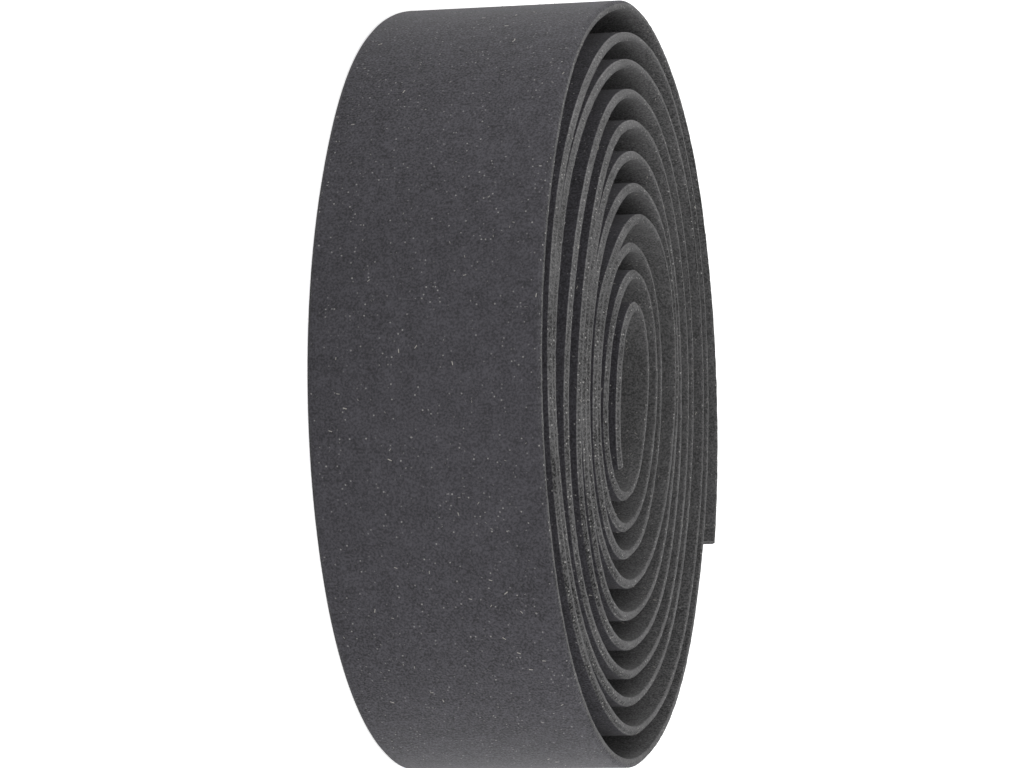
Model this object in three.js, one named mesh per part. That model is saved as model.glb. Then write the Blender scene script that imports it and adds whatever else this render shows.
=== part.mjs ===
// Roll of handlebar tape: one long foam strip wound up loosely into an open spiral.
// Millimetres, +Z up. The roll's axis is Z and the lower edge of every turn stands on z = 0.
// Angles are in degrees, from -Y round through -X, +Y and +X, and go on growing turn by turn.
import * as THREE from 'three';

// The strip
const tapeWidth = 30;
const tapeThickness = 1.2;
const faceCornerRadius = 0.7; // the soft corners of the outer face
const backBevel = 0.2; // the corners of the inner face, cut by the slitting knife

// The two cut ends of the strip
const innerEndAngle = -56;
const freeEndAngle = 3805;

// The open eye: distance from the axis to the middle of the innermost turn
const stationSpacing = 60;
const firstStation = -90;
const eyeRadii = [15.5, 9.3, 6.6, 9.4, 11.2, 9.0, 13.4];

// Air between a turn and the turn inside it, at the stations 330, 30, 90, 150, 210 and 270.
// Wound by hand, the roll is tight on one side and loose on the other.
const airByTurn = [
  [6.3, 4.7, 3.6, 4.0, 4.0, 3.2],
  [2.9, 3.5, 2.8, 1.9, 1.7, 2.6],
  [0.9, 0.8, 1.4, 7.9, 6.3, 3.3],
  [2.8, 2.5, 3.8, 0.7, 0.9, 2.9],
  [1.0, 1.0, 3.3, 0.6, 2.3, 2.8],
  [2.7, 0.9, 2.9, 3.3, 2.9, 2.6],
  [4.7, 5.1, 3.2, 2.7, 1.9, 2.4],
  [3.1, 6.6, 2.9, 4.9, 5.5, 3.0],
  [0.7, 1.3, 2.4, 1.8, 2.1, 2.8],
  [4.5, 3.9, 3.1, 2.7, 6.0, 6.0],
];
const airBeyondTable = 3; // for a longer strip than the one above

// How far each turn stands off its smooth course midway between stations, at 0, 60, ... 300.
const swellByTurn = [
  [0.0, 0.2, 0.4, 0.1, -0.1, 0.0],
  [-0.4, 0.1, 0.0, 0.1, 0.0, 0.1],
  [-0.2, 0.2, -0.1, 0.0, -0.2, 0.6],
  [-0.5, -0.3, -0.2, 0.0, -0.1, -0.2],
  [0.0, 0.1, -0.1, 0.0, 0.3, 1.0],
  [0.0, 0.0, 0.4, -0.5, 0.3, 0.6],
  [-0.4, -0.3, 0.5, -0.2, 0.5, -0.3],
  [0.2, -0.3, 0.2, -0.4, 0.4, -0.5],
  [0.7, -0.2, -0.1, -0.4, 0.5, -0.9],
  [0.2, -0.4, 0.5, -0.3, 0.5, -0.2],
  [0.0, 0.8, -0.7, 0.0, 0.0, 0.0],
];

// The roll has settled a little oval, longest towards ovalDirection
const ovalAmount = 2.7;
const ovalDirection = 122;

// Facets
const stepsPerTurn = 37.5; // on average over the whole length
const stepLead = 0.24; // the larger it is, the more even the steps of angle are
const cornerSegments = 1; // halves of each rounded corner

const tapeColour = 0x44434a;

const radians = THREE.MathUtils.degToRad;

// How far the oval pushes the tape out at an angle.
function ovalAt(angle) {
  return ovalAmount * Math.cos(2 * radians(angle - ovalDirection));
}

// The swell or dent at an angle, fading out towards the stations on both sides.
function swellAt(angle) {
  const place = angle / stationSpacing;
  const nearest = Math.round(place);
  const fade = Math.cos(Math.PI * (place - nearest));
  return (swellByTurn.flat()[nearest] ?? 0) * fade * fade;
}

// Radius at each station: a turn lies on the turn inside it, with its air between.
function stationRadii(count) {
  const radii = [...eyeRadii];
  const air = airByTurn.flat();
  const perTurn = 360 / stationSpacing;
  while (radii.length < count) {
    const gap = air[radii.length - eyeRadii.length] ?? airBeyondTable;
    radii.push(radii[radii.length - perTurn] + tapeThickness + gap);
  }
  return radii;
}

// The stations without the oval, which is put back between them as a smooth curve.
const stationCount = Math.ceil((freeEndAngle - firstStation) / stationSpacing) + 2;
const roundRadii = stationRadii(stationCount).map(
  (radius, i) => radius - ovalAt(firstStation + i * stationSpacing),
);

// Distance from the axis to the middle of the tape: a smooth curve through the stations.
function radiusAt(angle) {
  const place = (angle - firstStation) / stationSpacing;
  const i = Math.floor(place);
  const u = place - i;
  const at = (k) => roundRadii[THREE.MathUtils.clamp(k, 0, roundRadii.length - 1)];
  const [a, b, c, d] = [at(i - 1), at(i), at(i + 1), at(i + 2)];
  const slope = c - a;
  const bend = 2 * a - 5 * b + 4 * c - d;
  const twist = 3 * b - a - 3 * c + d;
  const smooth = 0.5 * (2 * b + slope * u + bend * u * u + twist * u * u * u);
  return smooth + ovalAt(angle) + swellAt(angle);
}

// The middle line of the tape, halfway up its width.
class RolledLine extends THREE.Curve {
  getPoint(share, target = new THREE.Vector3()) {
    const angle = innerEndAngle + share * (freeEndAngle - innerEndAngle);
    const radius = radiusAt(angle);
    return target.set(
      -radius * Math.sin(radians(angle)),
      -radius * Math.cos(radians(angle)),
      tapeWidth / 2,
    );
  }

  // The steps of angle shrink as the turns grow, which leaves all facets about equally flat.
  getUtoTmapping(share) {
    const first = stepLead ** 1.5;
    const last = (1 + stepLead) ** 1.5;
    return THREE.MathUtils.lerp(first, last, share) ** (2 / 3) - stepLead;
  }
}

// The strip's section: x across the width, y from the inner face to the outer face.
function tapeSection() {
  const side = tapeWidth / 2;
  const face = tapeThickness / 2;
  const round = Math.min(faceCornerRadius, tapeThickness * 0.6);
  const bevel = Math.min(backBevel, tapeThickness * 0.3);
  const section = new THREE.Shape();
  section.moveTo(-side + bevel, -face);
  section.lineTo(side - bevel, -face);
  section.lineTo(side, -face + bevel);
  section.absarc(side - round, face - round, round, 0, Math.PI / 2, false);
  section.absarc(-side + round, face - round, round, Math.PI / 2, Math.PI, false);
  section.lineTo(-side, -face + bevel);
  section.closePath();
  return section;
}

// The whole roll as one closed solid, centred over its own footprint.
function rolledTape() {
  const geometry = new THREE.ExtrudeGeometry(tapeSection(), {
    extrudePath: new RolledLine(),
    steps: Math.round(((freeEndAngle - innerEndAngle) / 360) * stepsPerTurn),
    curveSegments: cornerSegments,
    bevelEnabled: false,
  });
  geometry.computeBoundingBox();
  const centre = geometry.boundingBox.getCenter(new THREE.Vector3());
  geometry.translate(-centre.x, -centre.y, 0);
  return geometry;
}

const foam = new THREE.MeshStandardMaterial({ color: tapeColour, roughness: 0.92, metalness: 0 });
const tape = new THREE.Mesh(rolledTape(), foam);
tape.name = 'tape';

const roll = new THREE.Group();
roll.name = 'handlebar_tape_roll';
roll.add(tape);

export default roll;
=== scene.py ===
"""Looks of a loosely wound roll of charcoal foam handlebar tape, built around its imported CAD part."""

from __future__ import annotations

import logging
import math
from dataclasses import dataclass, field
from enum import Enum

import bpy
import numpy as np
from mathutils import Matrix, Vector


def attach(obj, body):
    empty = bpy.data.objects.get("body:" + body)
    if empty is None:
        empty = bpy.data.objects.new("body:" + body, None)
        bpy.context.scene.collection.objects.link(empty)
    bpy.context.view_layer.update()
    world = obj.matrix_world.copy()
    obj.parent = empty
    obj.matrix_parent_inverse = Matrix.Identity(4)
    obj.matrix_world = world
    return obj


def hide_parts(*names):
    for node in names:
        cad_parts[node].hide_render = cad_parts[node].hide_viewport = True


LOG = logging.getLogger("tape_roll")
MM = 0.001
IMAGE_WIDTH = 1024

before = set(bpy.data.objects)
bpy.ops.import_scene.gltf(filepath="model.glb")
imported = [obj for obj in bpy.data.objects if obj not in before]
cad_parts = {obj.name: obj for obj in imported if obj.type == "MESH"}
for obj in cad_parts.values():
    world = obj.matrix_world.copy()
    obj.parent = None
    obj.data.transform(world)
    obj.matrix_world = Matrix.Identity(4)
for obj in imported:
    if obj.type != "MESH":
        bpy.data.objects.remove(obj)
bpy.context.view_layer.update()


class StripSide(Enum):
    """The two wide sides of the strip, and the way each of them looks in the section's own x."""

    FACE = -1.0
    BACK = 1.0


# Node helpers


class NodeSheet:
    """A node tree with short calls to add and join nodes."""

    def __init__(self, tree: bpy.types.NodeTree) -> None:
        """Start on a tree.

        Args:
            tree: The shader or geometry tree to fill.
        """
        self.tree = tree

    def add(self, kind: str, inputs: dict | None = None, **settings: object) -> bpy.types.Node:
        """Add one node.

        Args:
            kind: The node's type name.
            inputs: Values or output sockets, by input name or index.
            **settings: Properties of the node itself.

        Returns:
            The new node.
        """
        node = self.tree.nodes.new(kind)
        for name, value in settings.items():
            setattr(node, name, value)
        for key, value in (inputs or {}).items():
            self.feed(node.inputs[key], value)
        return node

    def feed(self, socket: bpy.types.NodeSocket, value: object) -> None:
        """Join an output socket to an input, or set the input's value.

        Args:
            socket: The input socket.
            value: An output socket or a plain value.
        """
        if isinstance(value, bpy.types.NodeSocket):
            self.tree.links.new(value, socket)
        else:
            socket.default_value = value

    def math(self, operation: str, a: object, b: object = 0.0, c: object = 0.0) -> bpy.types.NodeSocket:
        """Add a Math node.

        Args:
            operation: The node's operation.
            a: First value or socket.
            b: Second value or socket.
            c: Third value or socket.

        Returns:
            The result's socket.
        """
        return self.add("ShaderNodeMath", {0: a, 1: b, 2: c}, operation=operation).outputs[0]

    def vector(self, operation: str, a: object, b: object = (0.0, 0.0, 0.0)) -> bpy.types.NodeSocket:
        """Add a Vector Math node.

        Args:
            operation: The node's operation.
            a: First vector or socket.
            b: Second vector or socket.

        Returns:
            The resulting vector's socket.
        """
        return self.add("ShaderNodeVectorMath", {0: a, 1: b}, operation=operation).outputs[0]

    def scaled(self, vector: object, factor: object) -> bpy.types.NodeSocket:
        """Multiply a vector by a number and return the product's socket."""
        node = self.add("ShaderNodeVectorMath", {0: vector}, operation="SCALE")
        self.feed(node.inputs["Scale"], factor)
        return node.outputs[0]

    def total(self, *terms: object) -> bpy.types.NodeSocket:
        """Add up any number of values or sockets and return the sum's socket."""
        result = terms[0]
        for term in terms[1:]:
            result = self.math("ADD", result, term)
        return result

    def blend(self, share: object, low: object, high: object) -> bpy.types.NodeSocket:
        """Mix two colours.

        Args:
            share: Nought gives the first colour and one the second.
            low: First colour, as three numbers or a socket.
            high: Second colour, as three numbers or a socket.

        Returns:
            The mixed colour's socket.
        """
        node = self.add("ShaderNodeMix", data_type="RGBA")
        self.feed(node.inputs["Factor"], share)
        for name, colour in (("A", low), ("B", high)):
            self.feed(node.inputs[name], (*colour, 1.0) if isinstance(colour, tuple) else colour)
        return node.outputs["Result"]

    def ramp(
        self, value: object, low: float, high: float, out_low: float, out_high: float
    ) -> bpy.types.NodeSocket:
        """Add a smooth Map Range node.

        Args:
            value: The value or socket that is mapped.
            low: Input where the result is out_low.
            high: Input where the result is out_high.
            out_low: Result at low.
            out_high: Result at high.

        Returns:
            The result's socket.
        """
        node = self.add("ShaderNodeMapRange", interpolation_type="SMOOTHSTEP")
        for name, number in (
            ("Value", value),
            ("From Min", low),
            ("From Max", high),
            ("To Min", out_low),
            ("To Max", out_high),
        ):
            self.feed(node.inputs[name], number)
        return node.outputs[0]

    def noise(
        self, vector: object, scale: object, detail: float = 2.0, rough: float = 0.5
    ) -> bpy.types.Node:
        """Add a three-dimensional noise texture.

        Args:
            vector: Where it is read.
            scale: Waves per metre.
            detail: Octaves.
            rough: Strength of the higher octaves.

        Returns:
            The texture node.
        """
        return self.add(
            "ShaderNodeTexNoise",
            {"Vector": vector, "Scale": scale, "Detail": detail, "Roughness": rough},
        )

    def cells(self, vector: object, scale: object) -> bpy.types.Node:
        """Add a Voronoi texture with its cells strewn at random.

        Args:
            vector: Where it is read.
            scale: Cells per metre.

        Returns:
            The texture node.
        """
        return self.add(
            "ShaderNodeTexVoronoi", {"Vector": vector, "Scale": scale, "Randomness": 1.0}
        )

    def height(self) -> bpy.types.NodeSocket:
        """Return the socket that gives each place's height above the table."""
        place = self.add("GeometryNodeInputPosition").outputs[0]
        return self.add("ShaderNodeSeparateXYZ", {0: place}).outputs[2]

    def store(
        self, geometry: bpy.types.NodeSocket, name: str, value: object, domain: str
    ) -> bpy.types.NodeSocket:
        """Store a number on a geometry under a name.

        Args:
            geometry: The geometry that gets it.
            name: The attribute's name.
            value: The number's socket.
            domain: Where it is stored, such as POINT or INSTANCE.

        Returns:
            The geometry with the attribute.
        """
        node = self.add("GeometryNodeStoreNamedAttribute", data_type="FLOAT", domain=domain)
        self.feed(node.inputs["Geometry"], geometry)
        self.feed(node.inputs["Name"], name)
        self.feed(node.inputs["Value"], value)
        return node.outputs[0]


def empty_material(name: str) -> tuple[bpy.types.Material, NodeSheet]:
    """Make a material without nodes.

    Args:
        name: The material's name.

    Returns:
        The material, and the sheet that fills its tree.
    """
    material = bpy.data.materials.new(name)
    material.use_nodes = True
    material.node_tree.nodes.clear()
    return material, NodeSheet(material.node_tree)


@dataclass
class GeometryRecipe:
    """A Geometry Nodes tree with named size inputs, run once and turned into a plain mesh."""

    name: str
    sheet: NodeSheet = field(init=False)
    start: bpy.types.Node = field(init=False)
    sizes: dict[str, object] = field(default_factory=dict)

    def __post_init__(self) -> None:
        """Make the empty tree with its geometry sockets."""
        tree = bpy.data.node_groups.new(self.name, "GeometryNodeTree")
        tree.interface.new_socket(name="Geometry", in_out="INPUT", socket_type="NodeSocketGeometry")
        tree.interface.new_socket(name="Geometry", in_out="OUTPUT", socket_type="NodeSocketGeometry")
        self.sheet = NodeSheet(tree)
        self.start = tree.nodes.new("NodeGroupInput")

    def size(self, name: str, value: object, kind: str = "NodeSocketFloat") -> bpy.types.NodeSocket:
        """Add a named input.

        Args:
            name: The input's name.
            value: The value that the modifier gives it.
            kind: The socket's type.

        Returns:
            The socket to read it from inside the tree.
        """
        self.sheet.tree.interface.new_socket(name=name, in_out="INPUT", socket_type=kind)
        self.sizes[name] = value
        return self.start.outputs[name]

    def end(self, geometry: bpy.types.NodeSocket, finish: bpy.types.NodeSocket) -> None:
        """Realize the instances, set the material and end the tree.

        Args:
            geometry: The last geometry.
            finish: The socket of the material.
        """
        real = self.sheet.add("GeometryNodeRealizeInstances", {0: geometry})
        dressed = self.sheet.add("GeometryNodeSetMaterial", {0: real.outputs[0]})
        self.sheet.feed(dressed.inputs["Material"], finish)
        self.sheet.add("NodeGroupOutput", {"Geometry": dressed.outputs[0]})

    def run(self, source: bpy.types.Object, name: str) -> bpy.types.Object:
        """Run the tree on an object and return the result as a new plain mesh object.

        Args:
            source: The object that holds the input geometry. It is deleted.
            name: The new object's name.

        Returns:
            The new mesh object, linked to the scene.
        """
        modifier = source.modifiers.new(self.name, "NODES")
        modifier.node_group = self.sheet.tree
        for item in self.sheet.tree.interface.items_tree:
            if item.in_out == "INPUT" and item.name in self.sizes:
                modifier[item.identifier] = self.sizes[item.name]
        source.update_tag()
        depsgraph = bpy.context.evaluated_depsgraph_get()
        mesh = bpy.data.meshes.new_from_object(source.evaluated_get(depsgraph), depsgraph=depsgraph)
        bpy.data.objects.remove(source)
        mesh.name = name
        piece = bpy.data.objects.new(name, mesh)
        bpy.context.scene.collection.objects.link(piece)
        return piece


# Finishes


@dataclass(frozen=True)
class FoamFinish:
    """Matt charcoal foam with a fine grain, soft mottling and paler, rougher cut edges, with light and
    shade painted on the cut edges and painted shading in the grain towards the crowns.

    A fade or span is the pair of readings between which a value changes: millimetres from the
    strip's middle for those across the strip, metres for those across the roll, and a noise's own
    value for the rest. A depth is a share of the plain tone.
    """

    face: tuple[float, float, float] = (0.048, 0.0463, 0.0535)
    back: tuple[float, float, float] = (0.101, 0.100, 0.101)
    edge: tuple[float, float, float] = (0.064, 0.063, 0.064)
    corner: tuple[float, float, float] = (0.078, 0.077, 0.078)
    speck: tuple[float, float, float] = (0.42, 0.41, 0.40)
    grain_per_m: float = 3600.0
    pore_per_m: float = 2100.0
    mottle_per_m: float = 420.0
    cloud_per_m: float = 45.0
    patch_per_m: float = 110.0
    edge_fade: tuple[float, float] = (0.54, 0.6)
    corner_fade: tuple[float, float] = (-0.35, 0.15)
    pressed_fade: tuple[float, float] = (0.12, 0.24)
    pressed_most: float = 0.9
    patch_span: tuple[float, float] = (0.35, 0.65)
    patch_depth: float = 0.16
    # Painted highlight along the outer corner of the cut edges, uneven in patches.
    corner_highlight_fade: tuple[float, float] = (0.34, 0.5)
    corner_highlight_least: float = 0.3
    corner_highlight: float = 0.8
    # Painted light and shade across the cut edge: the side towards the outer face is lighter on the -X
    # half of the roll and darker on the +X half.
    side_light_and_shade: float = 1.15
    side_light_reach: float = 0.045
    # Painted light on the cut edges of the -X crown.
    crown_light_fade: tuple[float, float] = (-0.012, -0.04)
    crown_light_lift: float = 0.34
    # Painted shade on the cut edges of the far side (+Y).
    far_fade: tuple[float, float] = (0.026, 0.044)
    far_shade: float = 0.25
    face_grain_span: tuple[float, float] = (0.34, 0.66)
    # The face's grain is toned deeper towards the crowns (±X) as painted shading of light raking across
    # it.
    crown_grain_shade_fade: tuple[float, float] = (0.015, 0.05)
    crown_grain_shade_depths: tuple[float, float] = (0.38, 0.62)
    edge_grain_span: tuple[float, float] = (0.38, 0.62)
    edge_grain_depth: float = 0.58
    soft_span: tuple[float, float] = (0.3, 0.7)
    mottle_depth: float = 0.13
    cloud_depth: float = 0.05
    speck_per_m: float = 2100.0
    face_specks: float = 0.08
    edge_specks: float = 0.26
    speck_rim: tuple[float, float] = (0.14, 0.3)
    speck_choice: tuple[float, float] = (0.84, 1.2)
    speck_cover: float = 0.9
    grain_height: float = 0.7
    pore_height: float = 0.5
    mottle_height: float = 0.6
    bump_strength: float = 0.8
    bump_depth: float = 0.00009
    roughness: float = 0.78
    specular: float = 0.3
    sheen: float = 0.06
    sheen_roughness: float = 0.45

    def edge_mask(self, sheet: NodeSheet, outside: object) -> bpy.types.NodeSocket:
        """Find the cut edges, which are all of the section but its two wide sides.

        Args:
            sheet: The material's tree.
            outside: Millimetres from the strip's middle towards its outer face.

        Returns:
            One on the cut edges and nought elsewhere. The last turn's outer corner is pressed shut.
        """
        last_turn = sheet.add("ShaderNodeAttribute", attribute_name="last_turn").outputs["Fac"]
        corner = sheet.ramp(outside, *self.pressed_fade, 0.0, self.pressed_most)
        pressed = sheet.math("MULTIPLY", last_turn, corner)
        edge = sheet.ramp(sheet.math("ABSOLUTE", outside), *self.edge_fade, 1.0, 0.0)
        return sheet.math("MULTIPLY", edge, sheet.math("SUBTRACT", 1.0, pressed))

    def body(self, sheet: NodeSheet, outside: object, edge: object) -> bpy.types.NodeSocket:
        """Choose between the colours of the face, the back and the cut edges.

        Args:
            sheet: The material's tree.
            outside: Millimetres from the strip's middle towards its outer face.
            edge: The mask of the cut edges.

        Returns:
            The plain colour.
        """
        sides = sheet.blend(sheet.math("GREATER_THAN", outside, 0.0), self.back, self.face)
        towards_face = sheet.ramp(outside, *self.corner_fade, 0.0, 1.0)
        rim = sheet.blend(towards_face, self.edge, self.corner)
        return sheet.blend(edge, sides, rim)

    def edge_tone_and_painted_light(self, sheet: NodeSheet, where: object, outside: object) -> bpy.types.NodeSocket:
        """Vary the cut edges with random patches and with painted light and shade: a painted highlight
        along the outer corner, painted light and shade across the edge that swap sides between -X and
        +X, painted light on the -X crown and painted shade on the far side.

        Args:
            sheet: The material's tree.
            where: Object coordinates.
            outside: Millimetres from the strip's middle towards its outer face.

        Returns:
            What is added to the tone of the cut edges, painted light and shade included.
        """
        patch = sheet.noise(where, self.patch_per_m).outputs["Fac"]
        across = sheet.add("ShaderNodeSeparateXYZ", {0: where}).outputs
        uneven = sheet.ramp(patch, *self.patch_span, -self.patch_depth, self.patch_depth)
        # A painted highlight along the outer corner, stronger in some patches than others.
        corner_highlight_patches = sheet.ramp(patch, *self.patch_span, self.corner_highlight_least * self.corner_highlight, self.corner_highlight)
        painted_corner_highlight = sheet.math("MULTIPLY", sheet.ramp(outside, *self.corner_highlight_fade, 0.0, 1.0), corner_highlight_patches)
        # Painted light and shade across the edge's thickness, swapping sides between the -X and +X
        # halves of the roll.
        way = sheet.ramp(across[0], -self.side_light_reach, self.side_light_reach, 1.0, -1.0)
        painted_side_light_and_shade = sheet.math("MULTIPLY", sheet.math("MULTIPLY", outside, way), self.side_light_and_shade)
        # Painted light: the cut edges are lighter on the -X crown of the roll.
        paler = sheet.ramp(across[0], *self.crown_light_fade, 0.0, self.crown_light_lift)
        # Painted shade: the cut edges are darker on the far side (+Y) of the roll.
        painted_far_shade = sheet.ramp(across[1], *self.far_fade, 0.0, self.far_shade)
        return sheet.total(uneven, painted_corner_highlight, painted_side_light_and_shade, paler, sheet.math("MULTIPLY", painted_far_shade, -1.0))

    def grain_tone_and_raking_shade(
        self, sheet: NodeSheet, where: object, edge: object, grain: object
    ) -> bpy.types.NodeSocket:
        """Vary the tone with the grain, more on the cut edges, and deeper towards the crowns of the
        roll as painted shading of the grain where light rakes across it.

        Args:
            sheet: The material's tree.
            where: Object coordinates.
            edge: The mask of the cut edges.
            grain: The grain's noise.

        Returns:
            What is added to the tone.
        """
        across = sheet.add("ShaderNodeSeparateXYZ", {0: where}).outputs
        # Deeper grain towards the crowns: painted shading of light raking across the grain.
        from_axis = sheet.math("ABSOLUTE", across[0])
        depth = sheet.ramp(from_axis, *self.crown_grain_shade_fade, *self.crown_grain_shade_depths)
        wave = sheet.ramp(grain, *self.face_grain_span, -1.0, 1.0)
        on_face = sheet.math("MULTIPLY", wave, depth)
        deep = self.edge_grain_depth
        on_edge = sheet.ramp(grain, *self.edge_grain_span, -deep, deep)
        more = sheet.math("MULTIPLY", edge, sheet.math("SUBTRACT", on_edge, on_face))
        return sheet.math("ADD", on_face, more)

    def specked(
        self, sheet: NodeSheet, where: object, edge: object, colour: object
    ) -> bpy.types.NodeSocket:
        """Strew pale specks over a colour, more of them on the cut edges.

        Args:
            sheet: The material's tree.
            where: Object coordinates.
            edge: The mask of the cut edges.
            colour: The colour without specks.

        Returns:
            The colour with specks.
        """
        dots = sheet.cells(where, self.speck_per_m)
        pick = sheet.add("ShaderNodeSeparateColor", {0: dots.outputs["Color"]}).outputs[0]
        pick = sheet.total(pick, self.face_specks, sheet.math("MULTIPLY", edge, self.edge_specks))
        inside = sheet.ramp(dots.outputs["Distance"], *self.speck_rim, 1.0, 0.0)
        chosen = sheet.ramp(pick, *self.speck_choice, 0.0, self.speck_cover)
        dot = sheet.math("MULTIPLY", inside, chosen)
        return sheet.blend(dot, colour, self.speck)

    def relief(
        self, sheet: NodeSheet, where: object, grain: object, mottle: object
    ) -> bpy.types.NodeSocket:
        """Raise the grain and sink the pores a little.

        Args:
            sheet: The material's tree.
            where: Object coordinates.
            grain: The grain's noise.
            mottle: The mottling's noise.

        Returns:
            The bumped normal.
        """
        pores = sheet.cells(where, self.pore_per_m).outputs["Distance"]
        height = sheet.total(
            sheet.math("MULTIPLY", grain, self.grain_height),
            sheet.math("MULTIPLY", pores, self.pore_height),
            sheet.math("MULTIPLY", mottle, self.mottle_height),
        )
        bump = sheet.add(
            "ShaderNodeBump",
            {"Strength": self.bump_strength, "Distance": self.bump_depth, "Height": height},
        )
        return bump.outputs["Normal"]

    def build(self) -> bpy.types.Material:
        """Make the material.

        Returns:
            The foam material.
        """
        material, sheet = empty_material("charcoal_foam")
        where = sheet.add("ShaderNodeTexCoord").outputs["Object"]
        outside = sheet.add("ShaderNodeAttribute", attribute_name="out_of_strip").outputs["Fac"]
        grain = sheet.noise(where, self.grain_per_m, rough=0.6).outputs["Fac"]
        mottle = sheet.noise(where, self.mottle_per_m, detail=3.0, rough=0.6).outputs["Fac"]
        cloud = sheet.noise(where, self.cloud_per_m).outputs["Fac"]

        edge = self.edge_mask(sheet, outside)
        tone = sheet.total(
            1.0,
            self.grain_tone_and_raking_shade(sheet, where, edge, grain),
            sheet.ramp(mottle, *self.soft_span, -self.mottle_depth, self.mottle_depth),
            sheet.ramp(cloud, *self.soft_span, -self.cloud_depth, self.cloud_depth),
            # The cut edges' tone carries painted light and shade.
            sheet.math("MULTIPLY", edge, self.edge_tone_and_painted_light(sheet, where, outside)),
        )
        colour = sheet.scaled(self.body(sheet, outside, edge), tone)
        shader = sheet.add(
            "ShaderNodeBsdfPrincipled",
            {
                "Base Color": self.specked(sheet, where, edge, colour),
                "Roughness": self.roughness,
                "Specular IOR Level": self.specular,
                "Sheen Weight": self.sheen,
                "Sheen Roughness": self.sheen_roughness,
                "Normal": self.relief(sheet, where, grain, mottle),
            },
        )
        out = sheet.add("ShaderNodeOutputMaterial")
        sheet.feed(out.inputs["Surface"], shader.outputs[0])
        return material


@dataclass(frozen=True)
class FibreFinish:
    """Short pale fibres caught in the foam, each a little different in tone."""

    dim: tuple[float, float, float] = (0.11, 0.107, 0.110)
    bright: tuple[float, float, float] = (0.42, 0.40, 0.37)
    roughness: float = 0.6

    def build(self) -> bpy.types.Material:
        """Make the material.

        Returns:
            The fibre material.
        """
        material, sheet = empty_material("pale_fibre")
        shade = sheet.add("ShaderNodeAttribute", attribute_name="fibre_tone").outputs["Fac"]
        colour = sheet.blend(shade, self.dim, self.bright)
        shader = sheet.add(
            "ShaderNodeBsdfPrincipled", {"Base Color": colour, "Roughness": self.roughness}
        )
        out = sheet.add("ShaderNodeOutputMaterial")
        sheet.feed(out.inputs["Surface"], shader.outputs[0])
        return material


@dataclass(frozen=True)
class TableFinish:
    """White table top that the camera sees as plain white, apart from the roll's shadow."""

    colour: tuple[float, float, float] = (0.86, 0.86, 0.86)
    camera_lift: float = 0.6

    def build(self) -> bpy.types.Material:
        """Make the material.

        Returns:
            The table's material.
        """
        material, sheet = empty_material("white_table")
        path = sheet.add("ShaderNodeLightPath").outputs
        seen = sheet.math("MAXIMUM", path["Is Camera Ray"], path["Is Glossy Ray"])
        seen = sheet.math("MAXIMUM", seen, path["Is Transmission Ray"])
        lift = sheet.math("MULTIPLY", seen, self.camera_lift)
        glow = sheet.add("ShaderNodeEmission", {"Strength": lift})
        top = sheet.add("ShaderNodeBsdfDiffuse", {"Color": (*self.colour, 1.0)})
        both = sheet.add("ShaderNodeAddShader", {0: top.outputs[0], 1: glow.outputs[0]})
        out = sheet.add("ShaderNodeOutputMaterial")
        sheet.feed(out.inputs["Surface"], both.outputs[0])
        return material


# The roll


@dataclass(frozen=True)
class Strip:
    """Section of the tape, in millimetres."""

    width: float = 30.0
    thickness: float = 1.2
    face_bevel: float = 0.46
    back_bevel: float = 0.12
    softening: float = 0.05

    def bevel(self, side: StripSide) -> float:
        """Return the size of the corners on one wide side."""
        return self.face_bevel if side is StripSide.FACE else self.back_bevel


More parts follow.
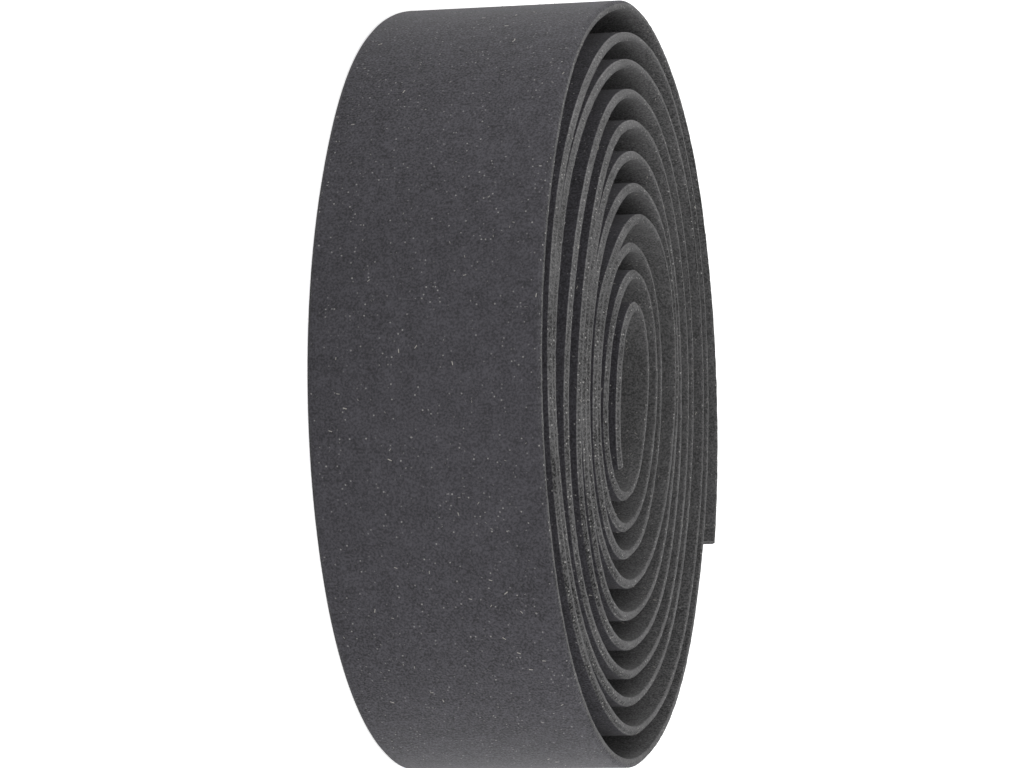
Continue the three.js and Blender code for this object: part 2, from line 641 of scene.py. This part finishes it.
@dataclass(frozen=True)
class Winding:
    """How the strip is wound: the same rule and sizes as the solid, in millimetres and degrees."""

    inner_end: float = -56.0
    free_end: float = 3805.0
    station_spacing: float = 60.0
    first_station: float = -90.0
    eye_radii: tuple[float, ...] = (15.5, 9.3, 6.6, 9.4, 11.2, 9.0, 13.4)
    air_by_turn: tuple[tuple[float, ...], ...] = (
        (6.3, 4.7, 3.6, 4.0, 4.0, 3.2),
        (2.9, 3.5, 2.8, 1.9, 1.7, 2.6),
        (0.9, 0.8, 1.4, 7.9, 6.3, 3.3),
        (2.8, 2.5, 3.8, 0.7, 0.9, 2.9),
        (1.0, 1.0, 3.3, 0.6, 2.3, 2.8),
        (2.7, 0.9, 2.9, 3.3, 2.9, 2.6),
        (4.7, 5.1, 3.2, 2.7, 1.9, 2.4),
        (3.1, 6.6, 2.9, 4.9, 5.5, 3.0),
        (0.7, 1.3, 2.4, 1.8, 2.1, 2.8),
        (4.5, 3.9, 3.1, 2.7, 6.0, 6.0),
    )
    swell_by_turn: tuple[tuple[float, ...], ...] = (
        (0.0, 0.2, 0.4, 0.1, -0.1, 0.0),
        (-0.4, 0.1, 0.0, 0.1, 0.0, 0.1),
        (-0.2, 0.2, -0.1, 0.0, -0.2, 0.6),
        (-0.5, -0.3, -0.2, 0.0, -0.1, -0.2),
        (0.0, 0.1, -0.1, 0.0, 0.3, 1.0),
        (0.0, 0.0, 0.4, -0.5, 0.3, 0.6),
        (-0.4, -0.3, 0.5, -0.2, 0.5, -0.3),
        (0.2, -0.3, 0.2, -0.4, 0.4, -0.5),
        (0.7, -0.2, -0.1, -0.4, 0.5, -0.9),
        (0.2, -0.4, 0.5, -0.3, 0.5, -0.2),
        (0.0, 0.8, -0.7, 0.0, 0.0, 0.0),
    )
    oval_amount: float = 2.7
    oval_direction: float = 122.0
    traced_points: int = 40001
    footprint_step: float = 1.0

    def oval_at(self, angle: np.ndarray) -> np.ndarray:
        """Return how far the oval pushes the tape out at each angle."""
        return self.oval_amount * np.cos(2.0 * np.radians(angle - self.oval_direction))

    def swell_at(self, angle: np.ndarray) -> np.ndarray:
        """Return the swell or dent at each angle, fading out towards the stations."""
        place = angle / self.station_spacing
        nearest = np.round(place).astype(int)
        swells = np.array([swell for row in self.swell_by_turn for swell in row])
        known = (nearest >= 0) & (nearest < len(swells))
        fade = np.cos(np.pi * (place - nearest)) ** 2
        return np.where(known, swells[np.clip(nearest, 0, len(swells) - 1)], 0.0) * fade

    def round_radii(self, thickness: float) -> np.ndarray:
        """Work out the radius at each station, with the oval taken out.

        Args:
            thickness: The strip's thickness.

        Returns:
            One radius for each station.
        """
        radii = list(self.eye_radii)
        per_turn = int(360 / self.station_spacing)
        for gap in (gap for row in self.air_by_turn for gap in row):
            radii.append(radii[-per_turn] + thickness + gap)
        stations = self.first_station + self.station_spacing * np.arange(len(radii))
        return np.array(radii) - self.oval_at(stations)

    def radius_at(self, angle: np.ndarray, thickness: float) -> np.ndarray:
        """Follow a smooth curve through the stations.

        Args:
            angle: Angles along the winding.
            thickness: The strip's thickness.

        Returns:
            The radius of the strip's middle at each angle.
        """
        radii = self.round_radii(thickness)
        place = (angle - self.first_station) / self.station_spacing
        i = np.floor(place).astype(int)
        u = place - i
        a, b, c, d = (radii[np.clip(i + k, 0, len(radii) - 1)] for k in (-1, 0, 1, 2))
        bend = 2 * a - 5 * b + 4 * c - d
        twist = 3 * b - a - 3 * c + d
        smooth = 0.5 * (2 * b + (c - a) * u + bend * u**2 + twist * u**3)
        return smooth + self.oval_at(angle) + self.swell_at(angle)

    def points_at(self, angle: np.ndarray, thickness: float) -> np.ndarray:
        """Place the strip's middle in the plane.

        Args:
            angle: Angles along the winding.
            thickness: The strip's thickness.

        Returns:
            One point for each angle.
        """
        radius = self.radius_at(angle, thickness)
        turn = np.radians(angle)
        return np.stack([-radius * np.sin(turn), -radius * np.cos(turn)], 1)

    def middle_line(self, thickness: float, step: float) -> tuple[np.ndarray, np.ndarray]:
        """Trace the middle of the strip in even steps of length.

        Args:
            thickness: The strip's thickness.
            step: Length of a step.

        Returns:
            The points in the plane, and the winding angle at each.
        """
        fine = np.linspace(self.inner_end, self.free_end, self.traced_points)
        path = self.points_at(fine, thickness)
        length = np.concatenate([[0.0], np.cumsum(np.hypot(*np.diff(path, axis=0).T))])
        marks = np.linspace(0.0, length[-1], int(round(length[-1] / step)) + 1)
        angle = np.interp(marks, length, fine)
        return self.points_at(angle, thickness), angle

    def footprint_centre(self, thickness: float) -> np.ndarray:
        """Find the centre of the wound strip's footprint.

        Args:
            thickness: The strip's thickness.

        Returns:
            The centre in the plane, before the roll is moved over its own footprint.
        """
        line, _ = self.middle_line(thickness, self.footprint_step)
        along = np.gradient(line, axis=0)
        along /= np.linalg.norm(along, axis=1)[:, None]
        side = np.stack([along[:, 1], -along[:, 0]], 1) * thickness / 2
        edges = np.concatenate([line + side, line - side])
        return (edges.min(0) + edges.max(0)) / 2


@dataclass
class TapeRoll:
    """The wound strip and the fibres caught in its surface, in millimetres and degrees."""

    strip: Strip = field(default_factory=Strip)
    winding: Winding = field(default_factory=Winding)
    step: float = 0.55
    fading_angle: float = 20.0
    edge_wobble: float = 0.07
    edge_wave_per_m: float = 700.0
    wobble_zone: float = 0.6
    calm_by_table: float = 4.0
    crease_angle: float = 50.0
    fibres_per_cm2: float = 6.0
    fibre_length: float = 0.45
    fibre_width: float = 0.08
    fibre_flatness: float = 0.8
    length_stretch: tuple[float, float] = (0.35, 1.2)
    width_stretch: tuple[float, float] = (0.8, 1.25)
    small_ones: float = 3.0
    clear_of_table: float = 0.6
    scatter_seed: int = 7
    turn_seed: int = 11
    size_seed: int = 13

    def winding_line(self) -> bpy.types.Object:
        """Make the strip's middle line as a chain of edges.

        Returns:
            An object that holds the line at the middle of the strip's width.
        """
        points, angles = self.winding.middle_line(self.strip.thickness, self.step)
        points = (points - self.winding.footprint_centre(self.strip.thickness)) * MM
        height = self.strip.width / 2 * MM
        mesh = bpy.data.meshes.new("winding_line")
        count = len(points)
        mesh.from_pydata(
            [(x, y, height) for x, y in points], [(i, i + 1) for i in range(count - 1)], []
        )
        last_turn = mesh.attributes.new("last_turn", "FLOAT", "POINT")
        since = (angles - (self.winding.free_end - 360.0)) / self.fading_angle
        last_turn.data.foreach_set("value", np.clip(since, 0.0, 1.0).astype(np.float32))
        line = bpy.data.objects.new("winding_line", mesh)
        bpy.context.scene.collection.objects.link(line)
        return line

    def section(self, recipe: GeometryRecipe, width: bpy.types.NodeSocket) -> bpy.types.NodeSocket:
        """Draw the strip's section and mark how far out of the strip each corner lies.

        Args:
            recipe: The tree that sweeps it.
            width: The strip's width.

        Returns:
            The closed outline.
        """
        sheet = recipe.sheet
        thickness = recipe.size("Thickness", self.strip.thickness * MM)
        face_bevel = recipe.size("Face bevel", self.strip.bevel(StripSide.FACE) * MM)
        back_bevel = recipe.size("Back bevel", self.strip.bevel(StripSide.BACK) * MM)
        softening = recipe.size("Softening", self.strip.softening * MM)

        outline = sheet.add("GeometryNodeCurvePrimitiveQuadrilateral", mode="RECTANGLE")
        sheet.feed(outline.inputs["Width"], thickness)
        sheet.feed(outline.inputs["Height"], width)
        corner = sheet.add("GeometryNodeInputPosition").outputs[0]
        corner_xyz = sheet.add("ShaderNodeSeparateXYZ", {0: corner})
        outward = sheet.math("MULTIPLY", corner_xyz.outputs[0], StripSide.FACE.value)
        on_face = sheet.math("GREATER_THAN", outward, 0.0)
        extra = sheet.math("MULTIPLY", on_face, sheet.math("SUBTRACT", face_bevel, back_bevel))
        curve = outline.outputs[0]
        for radius in (sheet.math("ADD", back_bevel, extra), softening):
            cut = sheet.add("GeometryNodeFilletCurve", mode="POLY")
            sheet.feed(cut.inputs["Curve"], curve)
            sheet.feed(cut.inputs["Count"], 1)
            sheet.feed(cut.inputs["Radius"], radius)
            curve = cut.outputs[0]
        return sheet.store(curve, "out_of_strip", sheet.math("MULTIPLY", outward, 1.0 / MM), "POINT")

    def uneven_edges(
        self, recipe: GeometryRecipe, swept: bpy.types.NodeSocket, width: bpy.types.NodeSocket
    ) -> bpy.types.NodeSocket:
        """Make the strip's cut edges slightly wavy, but leave them level where they stand.

        Args:
            recipe: The tree that sweeps the strip.
            swept: The swept strip.
            width: The strip's width.

        Returns:
            The strip with its uneven edges.
        """
        sheet = recipe.sheet
        wobble = recipe.size("Edge wobble", self.edge_wobble * MM)
        zone = recipe.size("Wobble zone", self.wobble_zone * MM)
        calm = recipe.size("Calm by the table", self.calm_by_table * MM)

        place = sheet.add("GeometryNodeInputPosition").outputs[0]
        height = sheet.height()
        half_width = sheet.math("MULTIPLY", width, 0.5)
        middle = sheet.math("SUBTRACT", height, half_width)
        from_edge = sheet.math("SUBTRACT", half_width, sheet.math("ABSOLUTE", middle))
        near_edge = sheet.ramp(from_edge, 0.0, zone, 1.0, 0.0)
        wave = sheet.noise(place, self.edge_wave_per_m, rough=0.55).outputs["Color"]
        push = sheet.vector("SUBTRACT", wave, (0.5, 0.5, 0.5))
        reach = sheet.math("MULTIPLY", sheet.math("MULTIPLY", wobble, 2.0), near_edge)
        push = sheet.scaled(push, reach)
        push = sheet.scaled(push, sheet.ramp(height, 0.0, calm, 0.0, 1.0))
        moved = sheet.add("GeometryNodeSetPosition")
        sheet.feed(moved.inputs["Geometry"], swept)
        sheet.feed(moved.inputs["Offset"], push)
        return moved.outputs[0]

    def sweep(self, foam: bpy.types.Material) -> bpy.types.Object:
        """Sweep the strip's section along the winding line.

        Args:
            foam: The material of the strip.

        Returns:
            The finished strip as a mesh object.
        """
        recipe = GeometryRecipe("wound_strip")
        sheet = recipe.sheet
        width = recipe.size("Width", self.strip.width * MM)
        finish = recipe.size("Foam", foam, "NodeSocketMaterial")

        line = sheet.add("GeometryNodeMeshToCurve", {0: recipe.start.outputs["Geometry"]})
        upright = sheet.add("GeometryNodeSetCurveNormal", {"Curve": line.outputs[0]}, mode="Z_UP")
        swept = sheet.add("GeometryNodeCurveToMesh")
        sheet.feed(swept.inputs["Curve"], upright.outputs[0])
        sheet.feed(swept.inputs["Profile Curve"], self.section(recipe, width))
        sheet.feed(swept.inputs["Fill Caps"], True)
        rough = self.uneven_edges(recipe, swept.outputs[0], width)

        smooth = sheet.add("GeometryNodeSetShadeSmooth", {0: rough})
        bend = sheet.add("GeometryNodeInputMeshEdgeAngle").outputs[0]
        sharp = sheet.math("GREATER_THAN", bend, math.radians(self.crease_angle))
        crease = sheet.add("GeometryNodeSetShadeSmooth", domain="EDGE")
        sheet.feed(crease.inputs["Geometry"], smooth.outputs[0])
        sheet.feed(crease.inputs["Selection"], sharp)
        sheet.feed(crease.inputs["Shade Smooth"], False)
        recipe.end(crease.outputs[0], finish)
        return recipe.run(self.winding_line(), "wound_tape")

    def one_fibre(self, recipe: GeometryRecipe) -> bpy.types.NodeSocket:
        """Make the small flat block that stands for a fibre.

        Args:
            recipe: The tree that strews the fibres.

        Returns:
            The block.
        """
        sheet = recipe.sheet
        length = recipe.size("Fibre length", self.fibre_length * MM)
        breadth = recipe.size("Fibre width", self.fibre_width * MM)
        box = sheet.add("ShaderNodeCombineXYZ", {0: length, 1: breadth})
        sheet.feed(box.inputs[2], sheet.math("MULTIPLY", breadth, self.fibre_flatness))
        return sheet.add("GeometryNodeMeshCube", {"Size": box.outputs[0]}).outputs[0]

    def chance(self, sheet: NodeSheet, most: float, seed: int) -> bpy.types.NodeSocket:
        """Draw a random number for each fibre.

        Args:
            sheet: The tree's sheet.
            most: The largest number. The least is nought.
            seed: The fixed seed.

        Returns:
            The number's socket.
        """
        draw = sheet.add("FunctionNodeRandomValue", {2: 0.0, 3: most}, data_type="FLOAT")
        sheet.feed(draw.inputs["Seed"], seed)
        return draw.outputs[1]

    def fibres(self, strip: bpy.types.Object, fibre: bpy.types.Material) -> bpy.types.Object:
        """Scatter short flat fibres over the strip, apart from the edge that it stands on.

        Args:
            strip: The finished strip, which isn't changed.
            fibre: The material of the fibres.

        Returns:
            All fibres as one mesh object.
        """
        recipe = GeometryRecipe("caught_fibres")
        sheet = recipe.sheet
        density = recipe.size("Fibres per square metre", self.fibres_per_cm2 * 1e4)
        clear_of_table = recipe.size("Clear of the table", self.clear_of_table * MM)
        seed = recipe.size("Seed", self.scatter_seed, "NodeSocketInt")
        finish = recipe.size("Fibre", fibre, "NodeSocketMaterial")

        scattered = sheet.add("GeometryNodeDistributePointsOnFaces", distribute_method="RANDOM")
        sheet.feed(scattered.inputs["Mesh"], recipe.start.outputs["Geometry"])
        sheet.feed(scattered.inputs["Density"], density)
        sheet.feed(scattered.inputs["Seed"], seed)

        about = sheet.add("FunctionNodeAxisAngleToRotation", {"Axis": (0.0, 0.0, 1.0)})
        sheet.feed(about.inputs["Angle"], self.chance(sheet, math.pi, self.turn_seed))
        turned = sheet.add("FunctionNodeRotateRotation", rotation_space="LOCAL")
        sheet.feed(turned.inputs[0], scattered.outputs["Rotation"])
        sheet.feed(turned.inputs[1], about.outputs[0])

        share = sheet.math("POWER", self.chance(sheet, 1.0, self.size_seed), self.small_ones)
        stretch = sheet.add("ShaderNodeCombineXYZ", {2: 1.0})
        sheet.feed(stretch.inputs[0], sheet.ramp(share, 0.0, 1.0, *self.length_stretch))
        sheet.feed(stretch.inputs[1], sheet.ramp(share, 0.0, 1.0, *self.width_stretch))

        placed = sheet.add("GeometryNodeInstanceOnPoints")
        for name, value in (
            ("Points", scattered.outputs["Points"]),
            ("Selection", sheet.math("GREATER_THAN", sheet.height(), clear_of_table)),
            ("Instance", self.one_fibre(recipe)),
            ("Rotation", turned.outputs[0]),
            ("Scale", stretch.outputs[0]),
        ):
            sheet.feed(placed.inputs[name], value)
        toned = sheet.store(placed.outputs[0], "fibre_tone", share, "INSTANCE")
        recipe.end(toned, finish)
        bed = bpy.data.objects.new("fibre_bed", strip.data.copy())
        bpy.context.scene.collection.objects.link(bed)
        return recipe.run(bed, "caught_fibres")

    def build(self) -> list[bpy.types.Object]:
        """Make the strip and its fibres and hand them to the frame.

        Returns:
            The finished pieces.
        """
        foam = FoamFinish().build()
        strip = self.sweep(foam)
        fibres = self.fibres(strip, FibreFinish().build())
        shading = strip.modifiers.new("flat_faces", "WEIGHTED_NORMAL")
        shading.keep_sharp = True
        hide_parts("tape")
        for piece in (strip, fibres):
            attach(piece, "root")
        return [strip, fibres]


# The stage


@dataclass(frozen=True)
class PhotographView:
    """The photograph's camera, as fitted to the roll's outline, with its angles in degrees."""

    distance: float = 603.4 * MM
    elevation: float = 14.46
    tilt: float = 1.65
    focal_px: float = 4493.0
    shift_px: tuple[float, float] = (11.8, 4.3)
    sensor: float = 36.0
    sight: tuple[float, float] = (0.01, 20.0)

    def build(self, aim: Vector) -> bpy.types.Object:
        """Place the camera with the roll's axis lying across the picture.

        Args:
            aim: The point on the roll's axis that the view line meets.

        Returns:
            The camera.
        """
        rise, tilt = math.radians(self.elevation), math.radians(self.tilt)
        back = Vector((0.0, -math.cos(rise), math.sin(rise)))
        along_axis = Vector((0.0, math.sin(rise), math.cos(rise)))
        level = Vector((1.0, 0.0, 0.0))
        right = math.cos(tilt) * along_axis + math.sin(tilt) * level
        up = math.sin(tilt) * along_axis - math.cos(tilt) * level
        data = bpy.data.cameras.new("photograph_view")
        data.sensor_width = self.sensor
        data.lens = self.focal_px * self.sensor / IMAGE_WIDTH
        data.shift_x = -self.shift_px[0] / IMAGE_WIDTH
        data.shift_y = self.shift_px[1] / IMAGE_WIDTH
        data.clip_start, data.clip_end = self.sight
        camera = bpy.data.objects.new("photograph_view", data)
        turn = Matrix((right, up, back)).transposed()
        camera.matrix_world = Matrix.Translation(aim + back * self.distance) @ turn.to_4x4()
        bpy.context.scene.collection.objects.link(camera)
        bpy.context.scene.camera = camera
        return camera


@dataclass(frozen=True)
class SoftLamp:
    """A soft lamp that points at the roll, with its place and size in metres."""

    name: str
    place: tuple[float, float, float]
    size: tuple[float, float]
    power: float

    def build(self) -> bpy.types.Object:
        """Make the lamp.

        Returns:
            The lamp's object.
        """
        data = bpy.data.lights.new(self.name, "AREA")
        data.shape = "RECTANGLE"
        data.size, data.size_y = self.size
        data.energy = self.power
        lamp = bpy.data.objects.new(self.name, data)
        lamp.location = self.place
        lamp.rotation_euler = (-Vector(self.place)).to_track_quat("-Z", "Y").to_euler()
        bpy.context.scene.collection.objects.link(lamp)
        return lamp


@dataclass
class Studio:
    """White table and even light round the roll, in metres."""

    table_radius: float = 3.0
    sky: float = 0.73
    lamps: tuple[SoftLamp, ...] = (
        SoftLamp("front_lamp", (0.0, -0.85, 0.75), (0.6, 0.6), 1.8),
        SoftLamp("crown_lamp", (-0.75, 0.1, 0.6), (0.5, 0.5), 0.8),
        SoftLamp("upper_lamp", (-1.0, -0.1, 0.07), (1.4, 0.14), 1.3),
        SoftLamp("under_lamp", (0.75, -0.1, 0.6), (0.5, 0.5), 2.0),
        SoftLamp("rear_lamp", (0.82, 0.57, 0.07), (1.0, 0.14), 1.6),
    )

    def build(self) -> None:
        """Make the table, the sky light and the lamps."""
        mesh = bpy.data.meshes.new("table")
        r = self.table_radius
        mesh.from_pydata([(-r, -r, 0), (r, -r, 0), (r, r, 0), (-r, r, 0)], [], [(0, 1, 2, 3)])
        mesh.materials.append(TableFinish().build())
        table = bpy.data.objects.new("table", mesh)
        bpy.context.scene.collection.objects.link(table)
        world = bpy.data.worlds.new("even_light")
        world.use_nodes = True
        world.node_tree.nodes.clear()
        sheet = NodeSheet(world.node_tree)
        sky = sheet.add("ShaderNodeBackground", {"Color": (1.0, 1.0, 1.0, 1.0), "Strength": self.sky})
        out = sheet.add("ShaderNodeOutputWorld")
        sheet.feed(out.inputs["Surface"], sky.outputs[0])
        bpy.context.scene.world = world
        for lamp in self.lamps:
            lamp.build()


def main() -> None:
    """Build the roll, the camera and the stage."""
    logging.basicConfig(level=logging.INFO, format="%(name)s: %(message)s")
    bpy.context.scene.view_settings.view_transform = "Standard"
    roll = TapeRoll()
    centre = roll.winding.footprint_centre(roll.strip.thickness)
    aim = Vector((-centre[0] * MM, -centre[1] * MM, roll.strip.width / 2 * MM))
    PhotographView().build(aim)
    Studio().build()
    for piece in roll.build():
        LOG.info("%s: %d faces", piece.name, len(piece.data.polygons))


if __name__ == "__main__":
    main()
